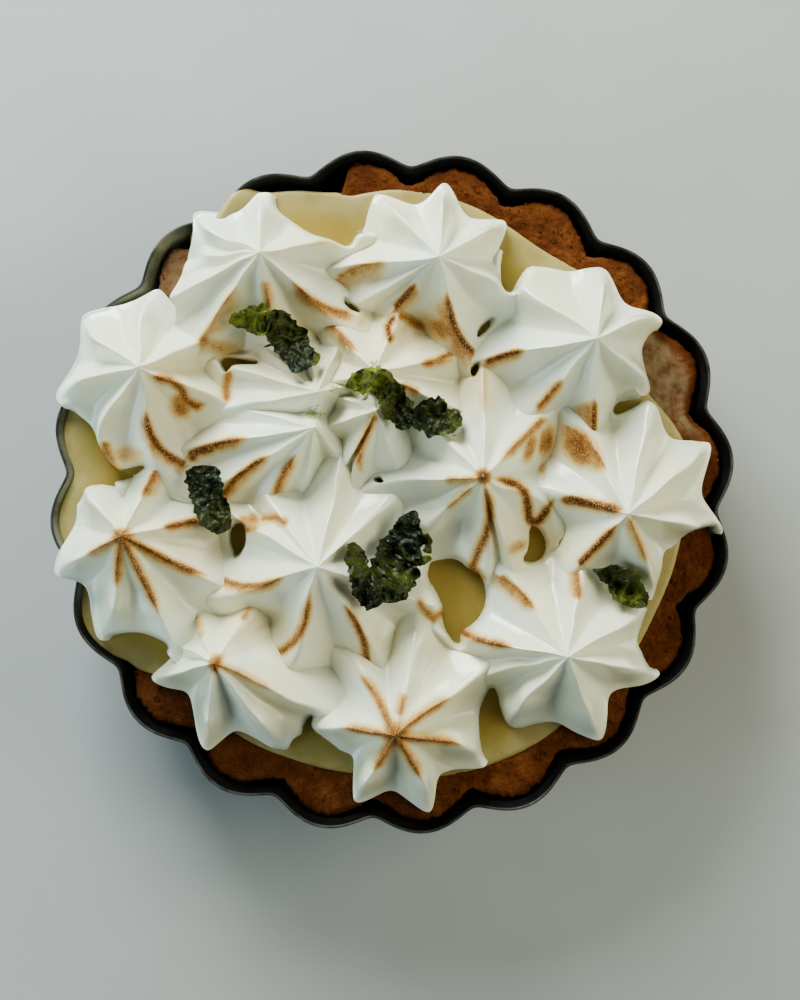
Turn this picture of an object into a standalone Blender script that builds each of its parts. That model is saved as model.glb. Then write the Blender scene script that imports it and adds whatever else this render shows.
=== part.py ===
"""Lemon meringue tartlet in its own fluted tin.

The tin stands on its flat underside. A shortcrust shell lines it, lemon curd
fills the shell and runs over its edge on the -X side, fifteen piped meringue
stars stand on the curd, and six crumpled mint leaves lie on the stars.

Frame: metres, +Z up. The origin is the middle of the tin's underside.
Every piece starts as a tube blank, level upon level of one ring, and a rule
for that piece then says where each level of each ring lies.
"""
import math

import bmesh
import bpy
from mathutils import Vector
from mathutils.bvhtree import BVHTree

MM = 0.001
GAP = 0.35 * MM                 # clearance kept between neighbouring pieces

# Tin: twenty round flutes, widest at the rim
RIM_RADIUS = 60.0 * MM          # across the crown of a flute
RIM_HEIGHT = 20.0 * MM
FLUTES = 20
FLUTE_DEPTH = 2.9 * MM
FLUTE_PHASE = math.radians(5.7)
VALLEY_ROUNDING = 0.2           # 0 would make the valleys sharp
WALL_TAPER = 0.225              # how much the wall narrows for each unit of depth
SHEET = 0.6 * MM
ROLL = 0.4 * MM                 # how far the rolled rim stands out
FOOT_INSET = 1.2 * MM
RINGS_PER_FLUTE = 6
SEGMENTS = FLUTES * RINGS_PER_FLUTE

# Shortcrust shell
CRUST_FLOOR = 3.2 * MM
CRUST_TOP = 18.4 * MM
CRUST_EDGE_DROP = 1.5 * MM      # the top falls to the tin's wall
CRUST_SHRINK = 0.8 * MM         # how far it has shrunk out of the valleys
CURD_RADIUS = 51.4 * MM
CURD_SHIFT = 1.2 * MM           # the pastry wall is thinner on this side
CURD_SHIFT_TURN = math.radians(75)
INNER_TAPER = 0.22
FLOOD_DROP = 0.8 * MM           # the pastry is lower where the curd runs over it
FLOOD_FROM, FLOOD_TO = math.radians(118), math.radians(215)
FLOOD_FADE = math.radians(12)

# Lemon curd
CURD_LEVEL = 19.2 * MM
CURD_EDGE_LEVEL = 18.85 * MM

# Meringue stars
STAR_BASE = 19.6 * MM
RIM_LIFT = 0.9 * MM             # arms that reach over the tin's rim rise by this
LIFT_FROM, LIFT_TO = 48.0 * MM, 54.0 * MM
STEPS_PER_ARM = 4
NOTCH = 0.21                    # depth of the notch between two arms
TIP_SHARPNESS = 0.85            # 1 gives straight sides, less gives finer tips
STAR_LEVELS = (                 # reach and height of each level, 1 is the whole star
    (0.86, 0.00),
    (1.00, 0.15),
    (0.79, 0.42),
    (0.47, 0.72),
    (0.15, 0.93),
)

# Each star: its tip's place and height, then the turn in degrees and the reach
# of each arm, measured from below that tip. Millimetres.
STARS = (
    ((-22.2, 40.1, 34.0),
     ((11, 15.4), (93, 12.0), (146, 15.0), (178, 13.2), (202, 17.5), (232, 18.0), (281, 17.0), (327, 17.0))),
    ((-42.5, 20.9, 34.0),
     ((27, 11.8), (82, 14.5), (138, 15.0), (196, 16.3), (251, 18.2), (291, 17.0), (332, 13.5))),
    ((-13.1, 10.9, 31.0),
     ((124, 5.2), (165, 14.5), (191, 22.0), (215, 19.5), (239, 13.7), (259, 8.5), (312, 6.3))),
    ((7.9, 39.3, 34.5),
     ((33, 14.2), (85, 14.6), (131, 16.4), (187, 17.0), (206, 12.5), (226, 10.0), (291, 16.0), (340, 14.0))),
    ((34.3, 25.7, 34.0),
     ((18, 13.6), (78, 14.2), (118, 17.0), (145, 18.0), (191, 18.5), (231, 14.0), (274, 15.2), (327, 14.2))),
    ((39.6, -3.7, 34.5),
     ((37, 20.0), (75, 20.0), (120, 16.4), (166, 12.5), (230, 11.5), (292, 16.4), (350, 18.3))),
    ((15.5, 2.5, 33.0),
     ((44, 14.3), (89, 18.0), (134, 13.0), (190, 16.5), (225, 12.5), (270, 17.5), (318, 12.0))),
    ((29.5, -27.7, 34.0),
     ((26, 16.6), (81, 14.2), (129, 16.4), (169, 18.0), (196, 13.0), (239, 16.0), (293, 17.0), (346, 17.5))),
    ((0.7, -40.8, 34.0),
     ((40, 18.0), (83, 17.0), (128, 13.0), (185, 16.0), (243, 15.0), (291, 16.0), (337, 17.3))),
    ((-30.0, -28.8, 32.5),
     ((58, 10.0), (120, 8.0), (160, 8.0), (197, 11.0), (262, 16.0), (305, 20.0), (339, 20.0))),
    ((-45.4, -7.4, 34.0),
     ((12, 11.6), (67, 12.7), (136, 12.2), (206, 15.0), (253, 19.0), (290, 21.0), (334, 16.5))),
    ((-12.4, -12.6, 33.5),
     ((43, 15.0), (79, 17.0), (129, 13.0), (150, 15.5), (189, 17.0), (243, 17.5), (295, 19.0), (340, 19.5))),
    ((-12.5, 16.9, 31.0),
     ((15, 7.5), (70, 9.0), (105, 10.0), (139, 12.0), (163, 16.5), (188, 17.0), (267, 6.0))),
    ((-2.7, 13.8, 31.5),
     ((39, 4.5), (110, 6.0), (159, 8.5), (198, 12.0), (240, 11.0), (262, 12.0), (290, 9.5))),
    ((-2.8, 20.2, 32.0),
     ((14, 14.5), (69, 12.0), (131, 12.0), (190, 10.0), (240, 8.0), (290, 8.0), (337, 15.0))),
)

# Each leaf: points along its middle and its width there, then its thickness. Millimetres.
LEAVES = (
    (((-27.7, 29.1, 0.8), (-24.5, 30.5, 3.1), (-20.6, 29.3, 4.6), (-18.2, 25.4, 5.3),
      (-16.2, 22.0, 4.6), (-15.1, 20.3, 1.7)), 2.0),
    (((-8.1, 17.7, 1.4), (-5.2, 18.8, 2.9), (-1.9, 17.5, 4.3), (0.9, 14.4, 4.4), (2.4, 11.2, 1.6)), 2.0),
    (((4.6, 12.3, 3.6), (6.6, 12.5, 5.1), (9.4, 11.6, 5.1), (11.8, 13.1, 2.6), (13.1, 15.2, 0.9)), 1.8),
    (((-33.0, 5.2, 4.1), (-32.5, 2.1, 6.1), (-31.6, -1.5, 5.4), (-29.4, -4.6, 4.8), (-26.8, -6.5, 1.7)), 2.0),
    (((4.4, -3.1, 3.4), (2.9, -7.0, 6.5), (0.2, -11.2, 9.5), (-2.2, -15.8, 10.6), (-3.0, -19.6, 6.1)), 2.4),
    (((34.1, -13.2, 0.8), (36.0, -14.4, 2.4), (38.9, -16.1, 5.6), (42.2, -18.5, 4.4), (44.2, -19.9, 1.0)), 1.6),
)
LEAF_SIDES = 8
LEAF_CLEARANCE = 0.6 * MM       # between a leaf and the highest meringue under it
LEAF_REACH = 1.3 * MM           # how far round a point of a leaf that height is sought
LEAF_DROOP = 3.5 * MM           # a leaf hangs no lower than this under its highest point
SKY = 60.0 * MM                 # a height above every piece


def clear_scene():
    """Remove what an open file holds."""
    for item in list(bpy.data.objects):
        bpy.data.objects.remove(item, do_unlink=True)


def make_collection(name):
    collection = bpy.data.collections.new(name)
    bpy.context.scene.collection.children.link(collection)
    return collection


def finish(name, colour, roughness, metallic=0.0):
    """A plain material for one kind of piece."""
    material = bpy.data.materials.new(name)
    material.use_nodes = True
    shader = material.node_tree.nodes["Principled BSDF"]
    shader.inputs["Base Color"].default_value = (*colour, 1.0)
    shader.inputs["Roughness"].default_value = roughness
    shader.inputs["Metallic"].default_value = metallic
    return material


def blank(segments, levels):
    """A closed tube of unit radius, one ring at each whole height, with a fan over each end."""
    bm = bmesh.new()
    depth = levels - 1
    bmesh.ops.create_cone(bm, cap_ends=True, cap_tris=True, segments=segments,
                          radius1=1, radius2=1, depth=depth)
    bmesh.ops.translate(bm, vec=(0, 0, depth / 2), verts=bm.verts)
    uprights = [edge for edge in bm.edges if abs(edge.verts[0].co.z - edge.verts[1].co.z) > 0.5]
    bmesh.ops.subdivide_edges(bm, edges=uprights, cuts=levels - 2, use_grid_fill=True)
    return bm


def shaped(name, segments, levels, place, material, collection):
    """Make a piece from a blank: place(level, turn) gives each point, turn is None on the axis."""
    bm = blank(segments, levels)
    for vert in bm.verts:
        turn = None if vert.co.xy.length < 0.5 else math.atan2(vert.co.y, vert.co.x) % math.tau
        vert.co = place(round(vert.co.z), turn)
    mesh = bpy.data.meshes.new(name)
    bm.to_mesh(mesh)
    bm.free()
    mesh.materials.append(material)
    mesh.shade_smooth()
    mesh.set_sharp_from_angle(angle=math.radians(35))
    piece = bpy.data.objects.new(name, mesh)
    collection.objects.link(piece)
    return piece


def polar(radius, turn, height):
    return Vector((radius * math.cos(turn), radius * math.sin(turn), height))


def mix(a, b, share):
    return a + (b - a) * share


def smooth_step(value):
    value = min(max(value, 0.0), 1.0)
    return value * value * (3 - 2 * value)


def flute(turn):
    """1 at the crown of a flute, 0 in the valley between two."""
    swing = math.cos(FLUTES / 2 * (turn - FLUTE_PHASE))
    crown = math.hypot(1, VALLEY_ROUNDING)
    return (math.hypot(swing, VALLEY_ROUNDING) - VALLEY_ROUNDING) / (crown - VALLEY_ROUNDING)


def wall_radius(turn, height):
    """Outside of the tin's wall."""
    narrowing = (RIM_HEIGHT - height) * WALL_TAPER
    return RIM_RADIUS - ROLL - FLUTE_DEPTH * (1 - flute(turn)) - narrowing


def flood(turn):
    """1 where the curd runs over the pastry to the tin, 0 elsewhere."""
    rise = smooth_step((turn - FLOOD_FROM) / FLOOD_FADE + 0.5)
    fall = smooth_step((FLOOD_TO - turn) / FLOOD_FADE + 0.5)
    return rise * fall


def pastry_inner_radius(turn, height):
    middle = CURD_RADIUS + CURD_SHIFT * math.cos(turn - CURD_SHIFT_TURN)
    return middle - (CRUST_TOP - height) * INNER_TAPER


def pastry_top(turn):
    return CRUST_TOP - FLOOD_DROP * flood(turn)


def make_tin(collection):
    """The fluted tin, from its foot up outside, over the rolled rim and down inside."""
    levels = (                  # height, and how far inside the wall's outer face
        (0.0, FOOT_INSET),
        (FOOT_INSET, 0.0),
        (RIM_HEIGHT - 2.6 * ROLL, 0.0),
        (RIM_HEIGHT - 1.6 * ROLL, -ROLL),
        (RIM_HEIGHT, 0.3 * ROLL),
        (RIM_HEIGHT - 2.2 * ROLL, SHEET),
        (SHEET + FOOT_INSET, SHEET),
        (SHEET, SHEET + FOOT_INSET),
    )

    def place(level, turn):
        height, inset = levels[level]
        if turn is None:
            return Vector((0, 0, height))
        turn += FLUTE_PHASE
        return polar(wall_radius(turn, height) - inset, turn, height)

    steel = finish("tin", (0.02, 0.02, 0.022), 0.35, 0.6)
    shaped("tin", SEGMENTS, len(levels), place, steel, collection)


def make_crust(collection):
    """The shortcrust shell: up the tin's wall, over its top and down to its floor."""
    under = SHEET + GAP
    skin = SHEET + GAP
    floor = under + CRUST_FLOOR

    def place(level, turn):
        if turn is None:
            return Vector((0, 0, under if level == 0 else floor))
        turn += FLUTE_PHASE
        top = pastry_top(turn)
        shrink = CRUST_SHRINK * (1 - flute(turn))
        if level == 0:
            return polar(wall_radius(turn, under) - skin - FOOT_INSET, turn, under)
        if level == 1:
            height = under + FOOT_INSET
            return polar(wall_radius(turn, height) - skin, turn, height)
        if level == 2:
            height = top - CRUST_EDGE_DROP
            return polar(wall_radius(turn, height) - skin - shrink, turn, height)
        if level == 3:
            crest = mix(pastry_inner_radius(turn, top), wall_radius(turn, top) - skin, 0.5)
            return polar(crest, turn, top + 0.2 * MM)
        if level == 4:
            return polar(pastry_inner_radius(turn, top), turn, top)
        return polar(pastry_inner_radius(turn, floor), turn, floor)

    pastry = finish("crust", (0.33, 0.13, 0.035), 0.8)
    shaped("crust", SEGMENTS, 6, place, pastry, collection)


def make_curd(collection):
    """The lemon curd: it fills the shell, and on one side runs over it to the tin."""
    floor = SHEET + GAP + CRUST_FLOOR + GAP
    crest = 0.2 * MM + GAP

    def place(level, turn):
        if turn is None:
            return Vector((0, 0, floor if level == 0 else CURD_LEVEL))
        turn += FLUTE_PHASE
        top = pastry_top(turn)
        inner = pastry_inner_radius(turn, top) - GAP
        tin_inner = wall_radius(turn, top) - SHEET - GAP
        edge = mix(inner, tin_inner, flood(turn))
        if level == 0:
            return polar(pastry_inner_radius(turn, floor) - GAP, turn, floor)
        if level == 1:
            return polar(inner, turn, top + GAP)
        if level == 2:
            return polar(edge, turn, top + crest)
        if level == 3:
            return polar(edge - 0.5 * MM, turn, CURD_EDGE_LEVEL)
        return polar(0.8 * inner, turn, CURD_LEVEL - 0.1 * MM)

    curd = finish("curd", (0.62, 0.5, 0.15), 0.3)
    shaped("curd", SEGMENTS, 5, place, curd, collection)


class Star:
    """One piped star: its tip, its arms and the upright cell that it has for itself."""

    def __init__(self, tip, arms):
        self.tip = Vector(tip) * MM
        self.arms = [(math.radians(turn), reach * MM) for turn, reach in arms]
        ends = [polar(reach, turn, 0) for turn, reach in self.arms]
        self.seat = self.tip.xy + sum((end.xy for end in ends), Vector((0, 0))) / len(ends)
        self.reach = sum(reach for turn, reach in self.arms) / len(arms)
        self.walls = []

    def part_from(self, other):
        """Keep this star on its own side of an upright plane between the two seats."""
        across = other.seat - self.seat
        share = self.reach / (self.reach + other.reach)
        self.walls.append((across.normalized(), across.length * share - GAP / 2))

    def outline(self, turn):
        """The star's outline seen from above; a full turn of the blank goes once past all arms."""
        count = len(self.arms)
        place = turn / math.tau * count
        index = int(round(place * STEPS_PER_ARM)) // STEPS_PER_ARM % count
        share = (round(place * STEPS_PER_ARM) % STEPS_PER_ARM) / STEPS_PER_ARM
        start, reach = self.arms[index]
        end, next_reach = self.arms[(index + 1) % count]
        notch = 1 - NOTCH * (1 - abs(2 * share - 1)) ** TIP_SHARPNESS
        return polar(mix(reach, next_reach, share) * notch, start + (end - start) % math.tau * share, 0)

    def in_cell(self, spot):
        """Draw a point straight towards the seat until it is inside the cell."""
        away = spot - self.seat
        share = 1.0
        for across, limit in self.walls:
            reach = across.dot(away)
            if reach * share > limit:
                share = limit / reach
        return self.seat + away * share

    def place(self, level, turn):
        if turn is None:
            if level == 0:
                return self.seat.to_3d() + Vector((0, 0, STAR_BASE))
            return self.in_cell(self.tip.xy).to_3d() + Vector((0, 0, self.tip.z))
        reach, rise = STAR_LEVELS[level]
        spot = self.in_cell(self.tip.xy + self.outline(turn).xy * reach)
        lift = RIM_LIFT * smooth_step((spot.length - LIFT_FROM) / (LIFT_TO - LIFT_FROM)) * (1 - rise)
        return spot.to_3d() + Vector((0, 0, mix(STAR_BASE, self.tip.z, rise) + lift))


def make_stars(collection):
    """Every star, each kept clear of all the others."""
    meringue = finish("meringue", (0.85, 0.83, 0.76), 0.35)
    stars = [Star(tip, arms) for tip, arms in STARS]
    pieces = []
    for number, star in enumerate(stars, 1):
        for other in stars:
            if other is not star:
                star.part_from(other)
        segments = len(star.arms) * STEPS_PER_ARM
        name = f"meringue_star_{number:02d}"
        pieces.append(shaped(name, segments, len(STAR_LEVELS), star.place, meringue, collection))
    return pieces


def meringue_top(pieces):
    """A function that gives the height of the stars at a spot, or of their base between them."""
    trees = []
    for piece in pieces:
        bm = bmesh.new()
        bm.from_mesh(piece.data)
        trees.append(BVHTree.FromBMesh(bm))
        bm.free()
    down = Vector((0, 0, -1))

    def top(x, y):
        height = STAR_BASE
        for tree in trees:
            hit = tree.ray_cast(Vector((x, y, SKY)), down)[0]
            if hit is not None:
                height = max(height, hit.z)
        return height

    return top


def make_leaves(collection, top):
    """The mint leaves, each a flat crumpled strip that follows the meringue under it."""
    mint = finish("mint_leaf", (0.02, 0.05, 0.015), 0.6)
    ring = [polar(LEAF_REACH, step * math.tau / 8, 0) for step in range(8)]

    def rest(x, y):
        around = [top(x + step.x, y + step.y) for step in ring]
        return max(around + [top(x, y)]) + LEAF_CLEARANCE

    for number, (line, thickness) in enumerate(LEAVES, 1):
        spine = [Vector((x, y, 0)) * MM for x, y, width in line]
        widths = [width * MM for x, y, width in line]
        thickness *= MM
        lowest = max(rest(point.x, point.y) for point in spine) - LEAF_DROOP

        def place(level, turn):
            before, after = spine[max(level - 1, 0)], spine[min(level + 1, len(spine) - 1)]
            along = (after - before).normalized()
            side = Vector((-along.y, along.x, 0))
            offset, rise = (0.0, 0.5) if turn is None else (math.cos(turn), 0.5 + 0.5 * math.sin(turn))
            spot = spine[level] + side * offset * widths[level] / 2
            return Vector((spot.x, spot.y, max(rest(spot.x, spot.y), lowest) + thickness * rise))

        shaped(f"mint_leaf_{number}", LEAF_SIDES, len(spine), place, mint, collection)


def main():
    clear_scene()
    collection = make_collection("lemon_meringue_pie")
    make_tin(collection)
    make_crust(collection)
    make_curd(collection)
    stars = make_stars(collection)
    make_leaves(collection, meringue_top(stars))


main()
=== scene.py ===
"""Lemon meringue tartlet: the looks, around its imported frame.

The tin, pastry and curd are lofted from tube blanks, the meringue stars are
pulled to a tip from the same blank, and the leaves are crumpled strips of it.
Sizes are metres. Positions come from the frame's boxes and from the same
table of stars and leaves that the frame was made from.
"""
import math
import random

import bmesh
import bpy
import numpy as np
from mathutils import Matrix, Vector, noise
from mathutils.bvhtree import BVHTree


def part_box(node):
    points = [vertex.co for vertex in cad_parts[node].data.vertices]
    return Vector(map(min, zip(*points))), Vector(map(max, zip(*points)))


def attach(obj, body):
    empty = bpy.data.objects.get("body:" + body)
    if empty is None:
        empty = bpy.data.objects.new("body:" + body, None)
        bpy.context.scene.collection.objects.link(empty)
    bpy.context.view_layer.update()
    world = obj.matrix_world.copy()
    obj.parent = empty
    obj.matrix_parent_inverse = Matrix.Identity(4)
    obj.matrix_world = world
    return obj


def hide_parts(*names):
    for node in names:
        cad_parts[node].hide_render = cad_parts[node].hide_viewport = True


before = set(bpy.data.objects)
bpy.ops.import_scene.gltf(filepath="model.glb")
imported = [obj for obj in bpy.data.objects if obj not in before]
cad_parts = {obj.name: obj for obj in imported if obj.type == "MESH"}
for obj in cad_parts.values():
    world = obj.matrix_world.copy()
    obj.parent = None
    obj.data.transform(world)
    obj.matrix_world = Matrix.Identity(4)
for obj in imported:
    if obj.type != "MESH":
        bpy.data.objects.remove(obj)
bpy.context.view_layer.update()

MM = 0.001
TAU = math.tau

# ---- the tin and its filling, as the frame has them ----
TIN_LOW, TIN_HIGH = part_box("tin")
RIM_HEIGHT = TIN_HIGH[2]
RIM_RADIUS = 60.0 * MM
FLUTES = 20
FLUTE_DEPTH = 2.9 * MM
FLUTE_PHASE = math.radians(5.7)
VALLEY_ROUNDING = 0.2
WALL_TAPER = 0.225
SHEET = 0.6 * MM
ROLL = 0.4 * MM
FOOT_INSET = 1.2 * MM
CRUST_TOP = 18.4 * MM
CRUST_EDGE_DROP = 1.5 * MM
CURD_RADIUS = 51.4 * MM
CURD_SHIFT = 1.2 * MM
CURD_SHIFT_TURN = math.radians(75)
INNER_TAPER = 0.22
FLOOD_DROP = 0.8 * MM
FLOOD_FROM, FLOOD_TO = math.radians(118), math.radians(215)
FLOOD_FADE = math.radians(12)
CURD_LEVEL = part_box("curd")[1][2]
CURD_EDGE_LEVEL = 18.85 * MM

# ---- meringue ----
STAR_STEPS = 40                 # points across one arm
STAR_RINGS = 68                 # rings from a star's foot to its tip
FOOT_RINGS = 10                 # of those, the rings on its rounded underside
FREE_NOTCH = 0.33               # how far an outline draws in between two arms that end on the rim
SHARED_NOTCH = 0.06             # and between two arms that end against other stars
FREE_ARMS = (34 * MM, 44 * MM)  # arms that end this far from the pie's middle turn from shared to free
NEAR_STARS = (15.5 * MM, 19.5 * MM)  # but not where the next star's tip is nearer than this
LIP = 1.5 * MM                  # how wide the rounded edge of an opening is
ARM_END = 0.10                  # height of a free arm's end, as a share of the whole
SHARED_END = 0.36               # and of an arm's end against another star
STAR_BASE = 18.9 * MM           # level from which the heights of the stars are counted
VALLEY = 0.49                   # how deep the hollows between ridges are
RUN_ON = 0.45                   # how much further a star runs on where it meets others

# Openings between the stars, where what lies below shows: outlines in mm
OPENINGS = (
    ((7.1, -12.8), (9.3, -12.1), (11.6, -11.9), (13.5, -13.6), (15.9, -14.7), (16.2, -18.1), (15.7, -20.5),
     (14.3, -22.9), (12.4, -24.1), (11.9, -25.2), (12.1, -26.9), (10.2, -25.4), (8.5, -22.2), (9.0, -20.0),
     (7.8, -17.2), (6.4, -14.5)),
    ((24.2, -6.1), (25.4, -6.1), (26.5, -7.7), (26.8, -9.6), (26.1, -11.6), (24.8, -12.3), (22.9, -12.0),
     (23.8, -10.4), (24.2, -8.4)),
    ((-28.1, -6.2), (-26.9, -5.2), (-25.8, -5.6), (-25.6, -8.0), (-25.9, -9.6), (-27.2, -11.6), (-27.9, -9.8),
     (-28.3, -8.0)),
    ((38.8, 13.6), (39.3, 15.5), (41.8, 15.9), (44.5, 16.9), (43.5, 15.7), (41.1, 14.3)),
    ((14.7, 26.9), (15.3, 28.7), (17.4, 30.3), (17.0, 28.9), (15.7, 27.6)),
    ((-8.4, 33.3), (-7.4, 32.9), (-5.7, 31.7), (-6.0, 31.2), (-7.4, 31.9)),
    ((-30.2, 23.1), (-28.0, 23.4), (-25.2, 23.1), (-22.9, 22.4), (-25.2, 22.4), (-27.6, 22.4), (-28.4, 21.4),
     (-29.1, 20.8), (-29.5, 21.9)),
    ((13.6, 20.7), (14.3, 22.2), (15.2, 22.6), (15.0, 21.2), (14.2, 20.2)),
    ((-3.1, 2.1), (-2.1, 2.4), (-1.2, 1.6), (-2.2, 1.4)),
    ((-19.3, 52.9), (-20.7, 49.8), (-15.8, 46.2), (-9.8, 43.6), (-7.2, 42.9), (-6.4, 44.8), (-5.7, 47.8),
     (-4.5, 51.0), (-4.5, 53.8)),
    ((21.8, 46.6), (20.5, 44.4), (19.4, 41.6), (19.0, 38.4), (19.6, 35.4), (20.9, 34.8), (21.9, 36.9),
     (23.8, 39.8), (26.6, 39.3), (31.7, 40.2), (29.0, 43.4), (25.8, 46.8)),
    ((17.3, -34.0), (16.4, -35.9), (15.4, -39.0), (15.4, -42.8), (16.4, -47.3), (20.4, -47.3), (29.0, -43.6),
     (26.4, -40.5), (22.1, -41.6), (20.0, -40.9), (19.0, -37.9), (18.3, -35.0)),
    ((-13.8, -38.6), (-15.3, -40.5), (-16.0, -43.6), (-17.9, -45.7), (-21.0, -44.8), (-22.4, -47.9),
     (-8.1, -52.2), (-8.6, -46.2), (-11.0, -43.5), (-14.5, -41.6)),
    ((-57.2, 15.2), (-53.4, 11.0), (-50.7, 7.2), (-48.3, 4.1), (-46.9, 3.6), (-42.4, 5.0), (-45.5, 2.8),
     (-49.5, 1.7), (-53.8, 1.2), (-54.5, -1.4), (-59.8, -4.8), (-59.0, 9.0)),
    ((-49.8, -25.8), (-47.2, -24.6), (-43.8, -24.7), (-40.9, -25.7), (-38.9, -26.9), (-39.9, -28.3),
     (-42.5, -29.6), (-49.0, -30.5)),
    ((46.4, 28.8), (43.6, 25.3), (44.5, 21.9), (45.7, 17.9), (44.2, 16.6), (46.2, 15.5), (48.3, 12.8),
     (51.4, 10.3), (55.2, 8.6), (56.6, 15.9), (51.4, 27.9)),
    ((56.9, -5.9), (53.1, -6.7), (50.4, -8.3), (48.0, -11.7), (46.6, -16.0), (45.7, -19.1), (44.0, -21.7),
     (43.3, -25.5), (44.0, -28.6), (45.9, -31.7), (51.4, -27.2), (58.3, -11.7)),
)


# Places where the meringue is dented: x, y, radius, depth in mm
DENTS = (
    (11.0, -4.6, 3.2, 1.6),
    (29.5, -35.5, 3.4, 1.3),
    (1.2, -48.6, 3.0, 0.9),
    (-31.0, -37.0, 3.0, 0.8),
    (-52.0, -16.0, 3.4, 0.9),
)


def arm(turn, reach, bow=0, toast=None, web=0.75):
    """An arm of a star: its turn in degrees, its reach in mm, how its ridge bows, and its browning.

    toast is (from, to, strength, spread after, spread before): shares of the reach, 1 for burnt
    brown, and how far in mm the tan runs down the face on either side of the ridge. web is how
    far the outline draws in before the next arm.
    """
    return {"turn": math.radians(turn), "reach": reach * MM, "bow": math.radians(bow), "toast": toast, "web": web}


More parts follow.
